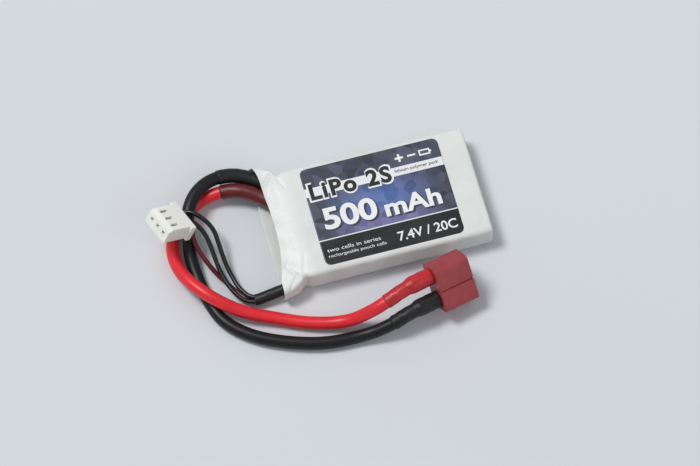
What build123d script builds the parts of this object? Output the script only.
"""Two-cell lithium polymer battery pack: wrapped pouch cells, power leads with a T plug, balance leads.

Frame: millimetres, +Z up, the pack lies flat on Z = 0 with its length along X and its leads leaving at -X.
"""

import os
from math import hypot, pi, radians, tan

from build123d import *

os.makedirs("parts", exist_ok=True)

# %% Driving dimensions, mm

# Pouch cells
cell_length = 44.0
cell_width = 29.4
cell_thickness = 3.6
pouch_wall = 0.15
pouch_front_length = 0.8
pouch_front_drop = 0.6
pouch_edge_radius = 0.4
side_seal_thickness = 0.25
side_seal_height = 2.6
terrace_length = 3.2
terrace_thickness = 0.65
stack_clearance = 0.1

# Cell tabs
tab_offset = 7.6
tab_width = 5.0
tab_thickness = 0.15
tab_seal_width = 6.2
tab_seal_thickness = 0.35
tab_seal_overhang = 0.35
tab_foot_length = 1.3

# Between and around the cells
pad_thickness = 0.15
pad_margin = 3.0
tape_thickness = 0.1
tape_reach = 9.0
tape_lip = 1.0
tape_side_margin = 1.2
end_insulator_thickness = 0.4
end_insulator_margin = 0.5
end_gap = 0.15

# Terminal board, its solder and the series link
board_thickness = 0.8
board_width = 28.4
board_overhang = 0.025
board_gap = 0.15
slot_clearance = 0.1
link_width = 3.0
link_thickness = 0.3
link_overlap = 0.9
lead_joint_radius = 1.5
lead_joint_height = 1.0
wire_joint_radius = 0.7
wire_joint_height = 0.6

# Shrink wrap
wrap_wall = 0.2
wrap_top_slack = 0.025
wrap_side_slack = 0.35
wrap_corner = 1.4
mouth_reach = 7.05
mouth_width = 37.4
mouth_side_shift = 0.7
mouth_height = 5.4
mouth_rise = 0.0
waist_pinch = 0.8
waist_drop = 0.4
waist_from_mouth = 6.15
shoulder_from_mouth = 8.15
end_window_width = 24.0
end_window_height = 3.4

# Label
label_length = 37.0
label_width = 27.9
label_thickness = 0.1
label_corner = 1.6
label_shift = 2.5
label_side_shift = 0.1

# Power leads
lead_diameter = 3.4
lead_strand_diameter = 1.8
sleeve_wall = 0.18
sleeve_clearance = 0.02
exit_sleeve_start = 0.6
exit_sleeve_end = -36.6

# Power plug
plug_length = 9.6
plug_width = 12.5
plug_depth = 7.7
plug_corner = 1.3
plug_rear_wall = 1.2
groove_width = 0.4
groove_depth = 0.3
notch_width = 0.9
notch_length = 0.8
notch_depth = 0.6
cavity_gap = 2.2
positive_cavity_width = 5.4
negative_cavity_width = 5.0
positive_cavity_offset = 3.35
negative_cavity_offset = -2.9
blade_thickness = 0.5
blade_side_gap = 0.4
blade_setback = 0.6
contact_tab_width = 1.7
contact_tab_length = 3.0
fit_clearance = 0.02
spring_thickness = 0.2
spring_width = 4.0
spring_bead_radius = 0.25
spring_wall_gap = 0.05
spring_root_height = 0.5
spring_crown_rise = 0.75
spring_crown_height = 3.8
spring_tip_rise = 0.25
spring_tip_height = 6.3
lead_end_gap = 3.2
positive_approach = 6.9
negative_approach = 8.3
plug_sleeve_cup_length = 6.0
plug_sleeve_cup_wall = 0.58
plug_sleeve_length = 10.4
plug_joint_start = 0.4
plug_joint_fill = 0.05

# Balance leads
wire_diameter = 1.2
wire_strand_diameter = 0.8
wire_sleeve_wall = 0.14
wire_sleeve_bore = 2.72
wire_sleeve_start = -26.6
wire_sleeve_end = -34.6

# Balance plug
pin_pitch = 2.5
pin_count = 3
balance_length = 8.7
balance_body_width = 8.5
balance_depth = 4.5
balance_corner = 0.35
ear_width = 9.8
ear_length = 1.5
chamber_width = 1.9
chamber_height = 2.6
balance_front_wall = 1.2
pin_hole = 1.0
lance_slot_width = 0.8
lance_slot_length = 2.4
lance_slot_from_front = 1.6
front_slope_length = 1.4
front_slope_depth = 0.7
terminal_width = 1.5
terminal_height = 1.6
terminal_wall = 0.2
terminal_box_start = 3.4
terminal_front_gap = 0.2
terminal_floor_width = 1.2
terminal_floor_start = 0.4
wire_end_depth = 1.5
wire_approaches = (1.3, 1.7, 1.1)
crimp_radius = 0.85
insulation_crimp = (0.4, 1.4)
strand_crimp = (1.8, 2.8)

# How round a lead's corners are: the part of the shorter run that each arc takes.
run_share = 0.45

# %% Derived places

stack_height = 2 * (cell_thickness + tape_thickness) + pad_thickness
board_height = cell_thickness + pad_thickness + 2 * (tab_foot_length + board_overhang)
wrap_height = stack_height + 2 * (wrap_wall + wrap_top_slack)
wrap_width = cell_width + 2 * (side_seal_thickness + wrap_side_slack + wrap_wall)
pack_length = (
    wrap_wall
    + end_insulator_thickness
    + end_gap
    + cell_length
    + terrace_length
    + tab_seal_overhang
    + board_gap
    + board_thickness
    + mouth_reach
)
end_x = pack_length / 2
mouth_x = -pack_length / 2
waist_x = mouth_x + waist_from_mouth
shoulder_x = mouth_x + shoulder_from_mouth
mid_height = wrap_height / 2
cell_end_x = end_x - wrap_wall - end_insulator_thickness - end_gap
cell_start_x = cell_end_x - cell_length
terrace_x = cell_start_x - terrace_length
board_back_x = terrace_x - tab_seal_overhang - board_gap
board_face_x = board_back_x - board_thickness
lower_base = wrap_wall + wrap_top_slack + tape_thickness
cell_bases = {"lower": lower_base, "upper": lower_base + cell_thickness + pad_thickness}

# The power plug: its rear face's centre, the way it mates (Z) and the way its width runs (X).
plug_plane = Plane(
    origin=(9.16, -27.11, 7.85), x_dir=(-0.115, 0.673, 0.730), z_dir=(0.970, 0.235, -0.064)
)
strand_rise = plug_joint_fill + lead_strand_diameter / 2
positive_axis = (positive_cavity_offset - cavity_gap / 2 + blade_thickness + strand_rise, 0)
negative_axis = (negative_cavity_offset, blade_thickness + strand_rise - cavity_gap / 2)

# The balance plug: its rear face's centre, the way it mates (Z) and the row of its pins (X).
balance_plane = Plane(
    origin=(-48.53, 8.09, 8.57), x_dir=(0.344, -0.933, 0.102), z_dir=(-0.795, -0.231, 0.561)
)
pin_places = [(number - (pin_count - 1) / 2) * pin_pitch for number in range(pin_count)]


def on_plane(plane, x, y, z):
    """A point of a plug's own frame, as a point of the pack's frame."""
    return tuple(plane.from_local_coords(Vector(x, y, z)))


# %% Routes of the leads, from the pack to the plugs

positive_route = [
    (-22.8, 7.0, 4.4),
    (-26.1, 10.7, 4.3),
    (-31.4, 14.3, 4.9),
    (-37.2, 15.8, 3.5),
    (-43.5, 14.9, 2.2),
    (-48.9, 10.9, 1.8),
    (-52.7, 4.8, 1.8),
    (-52.8, -2.5, 3.2),
    (-50.2, -8.9, 5.5),
    (-45.8, -14.4, 5.6),
    (-39.6, -18.7, 3.3),
    (-32.0, -21.8, 1.8),
    (-23.5, -25.7, 1.75),
    (-14.2, -28.1, 2.5),
    (-8.0, -29.0, 7.9),
    (-4.1, -28.4, 9.9),
    on_plane(plug_plane, *positive_axis, -positive_approach),
    on_plane(plug_plane, *positive_axis, -lead_end_gap),
]
negative_route = [
    (-22.8, 12.9, 3.9),
    (-26.0, 15.4, 4.3),
    (-31.4, 18.8, 5.0),
    (-37.7, 19.0, 5.8),
    (-43.0, 16.3, 6.2),
    (-46.4, 11.6, 6.0),
    (-47.5, 6.1, 4.7),
    (-48.7, 0.5, 2.6),
    (-48.3, -6.2, 1.75),
    (-47.2, -12.8, 1.8),
    (-45.0, -19.4, 1.75),
    (-39.0, -25.2, 1.8),
    (-30.4, -29.4, 1.8),
    (-20.6, -32.3, 1.8),
    (-10.7, -32.5, 1.8),
    (-4.2, -32.7, 4.4),
    on_plane(plug_plane, *negative_axis, -negative_approach),
    on_plane(plug_plane, *negative_axis, -lead_end_gap),
]
wire_routes = [
    [
        (-22.0, -11.8, 4.6),
        (-25.0, -14.34, 3.9),
        (-36.2, -15.24, 2.2),
        (-38.75, -11.31, 2.1),
        (-39.49, -8.36, 2.32),
        (-40.37, -4.42, 3.1),
        (-40.77, 0.12, 4.9),
        (-41.19, 5.04, 7.09),
        (-45.25, 9.84, 8.75),
    ],
    [
        (-22.0, -13.7, 4.5),
        (-25.0, -15.58, 3.85),
        (-36.2, -16.48, 2.2),
        (-39.27, -14.09, 2.18),
        (-41.39, -9.69, 2.59),
        (-42.41, -5.51, 3.32),
        (-42.87, -0.68, 4.85),
        (-43.36, 3.2, 6.15),
        (-44.86, 6.31, 7.22),
    ],
    [
        (-22.0, -12.4, 2.6),
        (-25.0, -14.96, 2.7),
        (-36.2, -15.86, 1.1),
        (-38.7, -12.59, 0.65),
        (-41.47, -8.37, 1.0),
        (-43.81, -4.81, 2.15),
        (-45.72, -0.99, 4.24),
        (-46.62, 1.71, 5.45),
        (-46.87, 4.15, 6.18),
    ],
]
for route, place, approach in zip(wire_routes, pin_places, wire_approaches):
    route.append(on_plane(balance_plane, place, 0, -approach))
    route.append(on_plane(balance_plane, place, 0, wire_end_depth))


def corner_radii(points):
    """Each corner's arc: run_share of its shorter run, over the tangent of half its turn."""
    radii = []
    for before, corner, after in zip(points, points[1:], points[2:]):
        run_in = Vector(*corner) - Vector(*before)
        run_out = Vector(*after) - Vector(*corner)
        half_turn = radians(run_in.get_angle(run_out)) / 2
        radii.append(run_share * min(run_in.length, run_out.length) / tan(half_turn))
    return radii


def unit_run(start, end):
    """The direction from one point to another."""
    return (Vector(*end) - Vector(*start)).normalized()


def save(name, part):
    """Labels a finished piece and writes its own file."""
    part.label = name
    export_step(part, f"parts/{name}.step")


# %% Shrink wrap: a thin tube with a flared, pinched mouth and a lip folded over the far end

# Each section: how far along, its centre across and up, its width and its height.
wrap_sections = [
    (mouth_x, (mouth_side_shift, mid_height + mouth_rise), mouth_width, mouth_height),
    (waist_x, (0, mid_height), wrap_width - waist_pinch, wrap_height - waist_drop),
    (shoulder_x, (0, mid_height), wrap_width, wrap_height),
    (end_x, (0, mid_height), wrap_width, wrap_height),
]
with BuildPart() as shrink_wrap:
    for x, centre, width, height in wrap_sections:
        with BuildSketch(Plane.YZ.offset(x)):
            with Locations(centre):
                RectangleRounded(width, height, wrap_corner)
    loft(ruled=True)
    for x, centre, width, height in wrap_sections:
        with BuildSketch(Plane.YZ.offset(min(x, end_x - wrap_wall))):
            with Locations(centre):
                RectangleRounded(width - 2 * wrap_wall, height - 2 * wrap_wall, wrap_corner - wrap_wall)
    loft(ruled=True, mode=Mode.SUBTRACT)
    with BuildSketch(Plane.YZ.offset(end_x)):
        with Locations((0, mid_height)):
            RectangleRounded(end_window_width, end_window_height, end_window_height / 3)
    extrude(amount=-wrap_wall, mode=Mode.SUBTRACT)
save("shrink_wrap", shrink_wrap.part)

# %% Label: a printed film on the top face

with BuildPart() as label:
    with BuildSketch(Plane.XY.offset(wrap_height)):
        with Locations((label_shift, label_side_shift)):
            RectangleRounded(label_length, label_width, label_corner)
    extrude(amount=label_thickness)
save("label", label.part)

# %% Pouch cells: laminate pouch, electrode stack, two tabs and their seals

cell_middle_x = (cell_start_x + cell_end_x) / 2
cavity_start_x = cell_start_x + pouch_front_length
stack_start_x = cavity_start_x + stack_clearance
stack_end_x = cell_end_x - pouch_wall - stack_clearance
seal_start_x = terrace_x - tab_seal_overhang
# Where each cell's tabs stand, and which way their feet fold: away at the leads, together at the link.
tab_sides = {
    "lower": {"negative": (tab_offset, -1), "positive": (-tab_offset, 1)},
    "upper": {"positive": (tab_offset, 1), "negative": (-tab_offset, -1)},
}
tabs = []
for cell, base in cell_bases.items():
    tab_height = base + cell_thickness / 2
    with BuildPart() as pouch:
        for x, drop in ((cell_start_x, pouch_front_drop), (cavity_start_x, 0)):
            with BuildSketch(Plane.YZ.offset(x)):
                with Locations((0, tab_height)):
                    section = (cell_width - 2 * drop, cell_thickness - 2 * drop)
                    RectangleRounded(*section, pouch_edge_radius)
        loft(ruled=True)
        with BuildSketch(Plane.YZ.offset(cavity_start_x)):
            with Locations((0, tab_height)):
                RectangleRounded(cell_width, cell_thickness, pouch_edge_radius)
        extrude(amount=cell_end_x - cavity_start_x)
        with BuildSketch(Plane.XY.offset(tab_height - terrace_thickness / 2)):
            with Locations((cell_start_x - terrace_length / 2, 0)):
                Rectangle(terrace_length, cell_width)
        extrude(amount=terrace_thickness)
        with BuildSketch(Plane.XY.offset(tab_height - side_seal_height / 2)):
            for side in (-1, 1):
                seal_length = cell_end_x - cavity_start_x
                with Locations((cavity_start_x + seal_length / 2, side * (cell_width + side_seal_thickness) / 2)):
                    Rectangle(seal_length, side_seal_thickness)
        extrude(amount=side_seal_height)
        with BuildSketch(Plane.YZ.offset(cavity_start_x)):
            with Locations((0, tab_height)):
                cavity = (cell_width - 2 * pouch_wall, cell_thickness - 2 * pouch_wall)
                RectangleRounded(*cavity, pouch_edge_radius)
        extrude(amount=cell_end_x - pouch_wall - cavity_start_x, mode=Mode.SUBTRACT)
        with BuildSketch(Plane.YZ.offset(terrace_x)):
            for side in (-1, 1):
                with Locations((side * tab_offset, tab_height)):
                    Rectangle(tab_seal_width, tab_seal_thickness)
        extrude(amount=terrace_length + pouch_front_length, mode=Mode.SUBTRACT)
    save(f"{cell}_cell_pouch", pouch.part)

    with BuildPart() as electrode_stack:
        with BuildSketch(Plane.YZ.offset(stack_start_x)):
            with Locations((0, tab_height)):
                inner_width = cell_width - 2 * (pouch_wall + stack_clearance)
                inner_height = cell_thickness - 2 * (pouch_wall + stack_clearance)
                RectangleRounded(inner_width, inner_height, pouch_edge_radius)
        extrude(amount=stack_end_x - stack_start_x)
    save(f"{cell}_cell_electrode_stack", electrode_stack.part)

    with BuildPart() as tab_seals:
        with BuildSketch(Plane.YZ.offset(seal_start_x)):
            for side in (-1, 1):
                with Locations((side * tab_offset, tab_height)):
                    Rectangle(tab_seal_width, tab_seal_thickness)
                    Rectangle(tab_width, tab_thickness, mode=Mode.SUBTRACT)
        extrude(amount=terrace_length + tab_seal_overhang)
    save(f"{cell}_cell_tab_seals", tab_seals.part)

    for pole, (side, fold) in tab_sides[cell].items():
        with BuildPart() as tab:
            with BuildSketch(Plane.XZ.offset(-side)):
                strip_length = stack_start_x - board_face_x
                with Locations((board_face_x + strip_length / 2, tab_height)):
                    Rectangle(strip_length, tab_thickness)
                foot_start = tab_height - fold * tab_thickness / 2
                with Locations((board_face_x - tab_thickness / 2, foot_start + fold * tab_foot_length / 2)):
                    Rectangle(tab_thickness, tab_foot_length)
            extrude(amount=tab_width / 2, both=True)
        tabs.append(tab.part)
        save(f"{cell}_cell_{pole}_tab", tab.part)

# %% Pad between the cells, paper at the far end, tape over the terminal end

with BuildPart() as cell_adhesive_pad:
    with BuildSketch(Plane.XY.offset(cell_bases["lower"] + cell_thickness)):
        with Locations((cell_middle_x, 0)):
            Rectangle(cell_length - 2 * pad_margin, cell_width - 2 * pad_margin)
    extrude(amount=pad_thickness)
save("cell_adhesive_pad", cell_adhesive_pad.part)

with BuildPart() as end_insulator:
    with BuildSketch(Plane.YZ.offset(end_x - wrap_wall - end_insulator_thickness)):
        with Locations((0, mid_height)):
            RectangleRounded(
                wrap_width - 2 * (wrap_wall + end_insulator_margin),
                wrap_height - 2 * wrap_wall - end_insulator_margin,
                wrap_corner,
            )
    extrude(amount=end_insulator_thickness)
save("end_insulator", end_insulator.part)

# One strip runs along the upper cell's top and down over the board's edge; the other mirrors it below.
tape_top = wrap_height - wrap_wall - wrap_top_slack
tape_front_x = board_face_x - tab_thickness - link_thickness
board_top = mid_height + board_height / 2
with BuildPart() as insulating_tape:
    with BuildSketch(Plane.XZ.offset(tape_side_margin - cell_width / 2)):
        with BuildLine():
            Polyline(
                (cell_start_x + tape_reach, tape_top),
                (cell_start_x, tape_top),
                (tape_front_x - tape_thickness, board_top + 2 * tape_thickness),
                (tape_front_x - tape_thickness, board_top - tape_lip),
                (tape_front_x, board_top - tape_lip),
                (tape_front_x, board_top + tape_thickness),
                (cell_start_x, tape_top - tape_thickness),
                (cell_start_x + tape_reach, tape_top - tape_thickness),
                close=True,
            )
        make_face()
    extrude(amount=cell_width - 2 * tape_side_margin)
    mirror(about=Plane.XY.offset(mid_height))
save("insulating_tape", insulating_tape.part)

# %% Terminal board with its tab slots, and the link that joins the cells in series

with BuildPart() as terminal_board:
    with BuildSketch(Plane.YZ.offset(board_face_x)):
        with Locations((0, mid_height)):
            Rectangle(board_width, board_height)
        for base in cell_bases.values():
            for side in (-1, 1):
                with Locations((side * tab_offset, base + cell_thickness / 2)):
                    slot = (tab_width + 2 * slot_clearance, tab_thickness + 2 * slot_clearance)
                    Rectangle(*slot, mode=Mode.SUBTRACT)
    extrude(amount=board_thickness)
save("terminal_board", terminal_board.part)

foot_gap = cell_thickness + pad_thickness + tab_thickness - 2 * tab_foot_length
with BuildPart() as series_link:
    with BuildSketch(Plane.YZ.offset(board_face_x - tab_thickness - link_thickness)):
        with Locations((-tab_offset, mid_height)):
            Rectangle(link_width, foot_gap + 2 * link_overlap)
    extrude(amount=link_thickness)
save("series_link", series_link.part)

# %% Stripped strands: from each lead's end to the board, and in the plugs


def strand_bars(ends, diameter):
    """One bar for each pair of a start point and a far end, made on the plane that faces along it."""
    with BuildPart() as bars:
        for start, end in ends:
            with BuildSketch(Plane(origin=start, z_dir=unit_run(start, end))):
                Circle(diameter / 2)
            extrude(amount=(Vector(*end) - Vector(*start)).length)
    return bars


def board_landing(route):
    """Where the line of a route's first run meets the board's face, and a point just behind it."""
    back = unit_run(route[1], route[0])
    reach = (board_face_x + board_thickness / 2 - route[0][0]) / back.X
    return tuple(Vector(*route[0]) + back * reach)


board_joints = []
strand_sets = {
    "positive_lead_strands": ([positive_route], lead_strand_diameter),
    "negative_lead_strands": ([negative_route], lead_strand_diameter),
    "balance_wire_strands": (wire_routes, wire_strand_diameter),
}
plug_strand_ends = {
    "positive_lead_strands": [
        (on_plane(plug_plane, *positive_axis, -lead_end_gap), on_plane(plug_plane, *positive_axis, -plug_joint_start))
    ],
    "negative_lead_strands": [
        (on_plane(plug_plane, *negative_axis, -lead_end_gap), on_plane(plug_plane, *negative_axis, -plug_joint_start))
    ],
    "balance_wire_strands": [
        (on_plane(balance_plane, place, 0, wire_end_depth), on_plane(balance_plane, place, 0, strand_crimp[1]))
        for place in pin_places
    ],
}
strands = {}
for name, (routes, diameter) in strand_sets.items():
    with BuildPart() as board_strands:
        add(strand_bars([(route[0], board_landing(route)) for route in routes], diameter).part)
        split(bisect_by=Plane.YZ.offset(board_face_x), keep=Keep.BOTTOM)
        add(strand_bars(plug_strand_ends[name], diameter).part)
    strands[name] = board_strands.part
    save(name, board_strands.part)
    is_lead = diameter == lead_strand_diameter
    board_joints += [(board_landing(route), is_lead) for route in routes]

with BuildPart() as board_solder_joints:
    for (_, y, z), is_lead in board_joints:
        radius = lead_joint_radius if is_lead else wire_joint_radius
        height = lead_joint_height if is_lead else wire_joint_height
        with BuildSketch(Plane.YZ.offset(board_face_x)):
            with Locations((y, z)):
                Circle(radius)
        extrude(amount=-height)
    for part in (*strands.values(), *tabs):
        add(part, mode=Mode.SUBTRACT)
save("board_solder_joints", board_solder_joints.part)

# %% Power leads and balance wires: round tubes along their routes

lead_routes = {"positive_lead": (positive_route, lead_diameter), "negative_lead": (negative_route, lead_diameter)}
for number, route in enumerate(wire_routes, start=1):
    lead_routes[f"balance_wire_{number}"] = (route, wire_diameter)
for name, (route, diameter) in lead_routes.items():
    radii = corner_radii(route)
    with BuildPart() as lead:
        with BuildLine() as path:
            FilletPolyline(*route, radius=radii)
        with BuildSketch(Plane(origin=path.line @ 0, z_dir=path.line % 0)):
            Circle(diameter / 2)
        sweep()
    save(name, lead.part)
    tube_length = path.wires()[0].length
    tube_volume = tube_length * pi * diameter**2 / 4
    print(name, "length", round(tube_length, 1), "volume share", round(lead.part.volume / tube_volume, 4))
    print("  radii", [round(radius, 1) for radius in radii])

# %% Sleeves where the leads leave the pack

sleeve_bore = lead_diameter / 2 + sleeve_clearance
for name, route in {"positive_exit_sleeve": positive_route, "negative_exit_sleeve": negative_route}.items():
    start = tuple(Vector(*route[0]) + unit_run(route[0], route[1]) * exit_sleeve_start)
    radii = corner_radii(route)[:3]
    with BuildPart() as exit_sleeve:
        with BuildLine() as path:
            FilletPolyline(start, *route[1:5], radius=radii)
        with BuildSketch(Plane(origin=path.line @ 0, z_dir=path.line % 0)):
            Circle(sleeve_bore + sleeve_wall)
            Circle(sleeve_bore, mode=Mode.SUBTRACT)
        sweep()
        split(bisect_by=Plane.YZ.offset(exit_sleeve_end), keep=Keep.TOP)
    save(name, exit_sleeve.part)

wire_sleeve_axis = [
    tuple(sum(route[stop][axis] for route in wire_routes) / pin_count for axis in range(3)) for stop in (1, 2)
]
with BuildPart() as balance_sleeve:
    with BuildSketch(Plane(origin=wire_sleeve_axis[0], z_dir=unit_run(*wire_sleeve_axis))):
        Circle(wire_sleeve_bore / 2 + wire_sleeve_wall)
        Circle(wire_sleeve_bore / 2, mode=Mode.SUBTRACT)
    extrude(amount=(Vector(*wire_sleeve_axis[1]) - Vector(*wire_sleeve_axis[0])).length)
    split(bisect_by=Plane.YZ.offset(wire_sleeve_start), keep=Keep.BOTTOM)
    split(bisect_by=Plane.YZ.offset(wire_sleeve_end), keep=Keep.TOP)
save("balance_sleeve", balance_sleeve.part)

# %% Heat-shrink from the power plug down each lead: thick over the solder tab, thin along the wire

# Up to the lead's end, the cup's bore also clears the corners of the contact's tab. It widens only where
# the lead is too thin for that.
cup_bore = hypot(strand_rise + blade_thickness, contact_tab_width / 2) + fit_clearance
plug_ends = {
    "positive_plug_heatshrink": (positive_route, positive_axis),
    "negative_plug_heatshrink": (negative_route, negative_axis),
}
for name, (route, axis) in plug_ends.items():
    tail = route[:-6:-1]
    with BuildPart() as plug_heatshrink:
        with BuildLine() as path:
            FilletPolyline(*tail, radius=corner_radii(tail))
        with BuildSketch(Plane(origin=path.line @ 0, z_dir=path.line % 0)):
            Circle(sleeve_bore + sleeve_wall)
            Circle(sleeve_bore, mode=Mode.SUBTRACT)
        sweep()
        wire = path.wires()[0]
        sleeve_end = wire.location_at(plug_sleeve_length, position_mode=PositionMode.LENGTH)
        split(bisect_by=Plane(sleeve_end), keep=Keep.BOTTOM)
        with BuildSketch(plug_plane.offset(-plug_sleeve_cup_length)):
            with Locations(axis):
                Circle(sleeve_bore + plug_sleeve_cup_wall)
                Circle(sleeve_bore, mode=Mode.SUBTRACT)
        extrude(amount=plug_sleeve_cup_length)
        if cup_bore > sleeve_bore:
            with BuildSketch(plug_plane):
                with Locations(axis):
                    Circle(cup_bore)
            extrude(amount=-lead_end_gap, mode=Mode.SUBTRACT)
    save(name, plug_heatshrink.part)

# %% Power plug: the housing, its two crossed contacts, their springs and the solder

tab_places = {
    "positive": (positive_cavity_offset - (cavity_gap - blade_thickness) / 2, 0),
    "negative": (negative_cavity_offset, -(cavity_gap - blade_thickness) / 2),
}
cavities = {
    "positive": ((positive_cavity_offset, 0), (cavity_gap, positive_cavity_width)),
    "negative": ((negative_cavity_offset, 0), (negative_cavity_width, cavity_gap)),
}
blade_sizes = {
    "positive": (blade_thickness, positive_cavity_width - 2 * blade_side_gap),
    "negative": (negative_cavity_width - 2 * blade_side_gap, blade_thickness),
}
tab_sizes = {
    "positive": (blade_thickness, contact_tab_width),
    "negative": (contact_tab_width, blade_thickness),
}
with BuildPart() as power_plug_housing:
    with BuildSketch(plug_plane):
        RectangleRounded(plug_width, plug_depth, plug_corner)
    extrude(amount=plug_length)
    with BuildSketch(plug_plane):
        with Locations((0, plug_depth / 2 - groove_depth / 2)):
            Rectangle(groove_width, groove_depth)
    extrude(amount=plug_length, mode=Mode.SUBTRACT)
    with BuildSketch(plug_plane.offset(plug_length)):
        with Locations((0, plug_depth / 2 - notch_depth / 2)):
            Rectangle(notch_width, notch_depth)
    extrude(amount=-notch_length, mode=Mode.SUBTRACT)
    with BuildSketch(plug_plane.offset(plug_rear_wall)):
        for place, size in cavities.values():
            with Locations(place):
                Rectangle(*size)
    extrude(amount=plug_length - plug_rear_wall, mode=Mode.SUBTRACT)
    with BuildSketch(plug_plane):
        for pole, place in tab_places.items():
            with Locations(place):
                Rectangle(*(size + 2 * fit_clearance for size in tab_sizes[pole]))
    extrude(amount=plug_rear_wall, mode=Mode.SUBTRACT)
save("power_plug_housing", power_plug_housing.part)

contacts = {}
for pole, place in tab_places.items():
    with BuildPart() as contact:
        with BuildSketch(plug_plane.offset(-contact_tab_length)):
            with Locations(place):
                Rectangle(*tab_sizes[pole])
        extrude(amount=contact_tab_length + plug_rear_wall)
        with BuildSketch(plug_plane.offset(plug_rear_wall)):
            with Locations(place):
                Rectangle(*blade_sizes[pole])
        extrude(amount=plug_length - plug_rear_wall - blade_setback)
    contacts[pole] = contact.part
    save(f"{pole}_contact", contact.part)

plug_joint_radius = 0.98 * hypot(strand_rise, contact_tab_width / 2)
with BuildPart() as plug_solder_joints:
    with BuildSketch(plug_plane.offset(-plug_joint_start)):
        with Locations(positive_axis, negative_axis):
            Circle(plug_joint_radius)
    extrude(amount=plug_joint_start - contact_tab_length)
    for part in (*contacts.values(), strands["positive_lead_strands"], strands["negative_lead_strands"]):
        add(part, mode=Mode.SUBTRACT)
save("plug_solder_joints", plug_solder_joints.part)

# Each spring is drawn in the plane that its leaf bends in: X along the plug, Y towards the cavity's wall.
spring_planes = {
    "positive": Plane(
        origin=on_plane(plug_plane, positive_cavity_offset, 0, plug_rear_wall + spring_root_height),
        x_dir=plug_plane.z_dir,
        z_dir=plug_plane.y_dir,
    ),
    "negative": Plane(
        origin=on_plane(plug_plane, negative_cavity_offset, 0, plug_rear_wall + spring_root_height),
        x_dir=plug_plane.z_dir,
        z_dir=-plug_plane.x_dir,
    ),
}
spring_root = cavity_gap / 2 - spring_wall_gap - spring_bead_radius
for pole, spring_plane in spring_planes.items():
    with BuildPart() as spring:
        with BuildSketch(spring_plane) as leaf:
            with BuildLine():
                Spline(
                    (0, spring_root),
                    (spring_crown_height, spring_root - spring_crown_rise),
                    (spring_tip_height, spring_root - spring_tip_rise),
                )
            trace(line_width=spring_thickness)
            with Locations((0, spring_root)):
                Circle(spring_bead_radius)
        extrude(amount=spring_width / 2, both=True)
    save(f"{pole}_contact_spring", spring.part)
    print(pole, "spring hinge at", on_plane(spring_plane, 0, spring_root, 0), "about", spring_plane.z_dir)

# %% Balance plug: the housing and its crimped terminals

with BuildPart() as balance_plug_housing:
    with BuildSketch(balance_plane):
        RectangleRounded(balance_body_width, balance_depth, balance_corner)
    extrude(amount=balance_length)
    with BuildSketch(balance_plane):
        Rectangle(ear_width, balance_depth)
    extrude(amount=ear_length)
    balance_side = Plane(
        origin=balance_plane.origin, x_dir=balance_plane.z_dir, z_dir=-balance_plane.x_dir
    )
    with BuildSketch(balance_side):
        with BuildLine():
            Polyline(
                (balance_length, balance_depth / 2),
                (balance_length - front_slope_length, balance_depth / 2),
                (balance_length, balance_depth / 2 - front_slope_depth),
                close=True,
            )
        make_face()
    extrude(amount=balance_body_width / 2, both=True, mode=Mode.SUBTRACT)
    with BuildSketch(balance_plane):
        for place in pin_places:
            with Locations((place, 0)):
                Rectangle(chamber_width, chamber_height)
    extrude(amount=balance_length - balance_front_wall, mode=Mode.SUBTRACT)
    with BuildSketch(balance_plane.offset(balance_length)):
        for place in pin_places:
            with Locations((place, 0)):
                Rectangle(pin_hole, pin_hole)
    extrude(amount=-balance_front_wall, mode=Mode.SUBTRACT)
    lance_middle = balance_length - lance_slot_from_front - lance_slot_length / 2
    with BuildSketch(balance_plane.offset(lance_middle - lance_slot_length / 2)):
        for place in pin_places:
            with Locations((place, balance_depth / 4)):
                Rectangle(lance_slot_width, balance_depth / 2)
    extrude(amount=lance_slot_length, mode=Mode.SUBTRACT)
save("balance_plug_housing", balance_plug_housing.part)

terminal_end = balance_length - balance_front_wall - terminal_front_gap
for number, place in enumerate(pin_places, start=1):
    with BuildPart() as terminal:
        with BuildSketch(balance_plane.offset(terminal_floor_start)):
            with Locations((place, (terminal_wall - terminal_height) / 2)):
                Rectangle(terminal_floor_width, terminal_wall)
        extrude(amount=terminal_end - terminal_floor_start)
        with BuildSketch(balance_plane.offset(terminal_box_start)):
            with Locations((place, 0)):
                Rectangle(terminal_width, terminal_height)
                inner = (terminal_width - 2 * terminal_wall, terminal_height - 2 * terminal_wall)
                Rectangle(*inner, mode=Mode.SUBTRACT)
        extrude(amount=terminal_end - terminal_box_start)
        for (low, high), diameter in (
            (insulation_crimp, wire_diameter),
            (strand_crimp, wire_strand_diameter),
        ):
            with BuildSketch(balance_plane.offset(low)):
                with Locations((place, 0)):
                    Circle(crimp_radius)
                    Circle(diameter / 2 + fit_clearance, mode=Mode.SUBTRACT)
            extrude(amount=high - low)
        with BuildSketch(balance_plane):
            with Locations((place, 0)):
                Circle(wire_diameter / 2 + fit_clearance)
        extrude(amount=wire_end_depth, mode=Mode.SUBTRACT)
    save(f"balance_terminal_{number}", terminal.part)
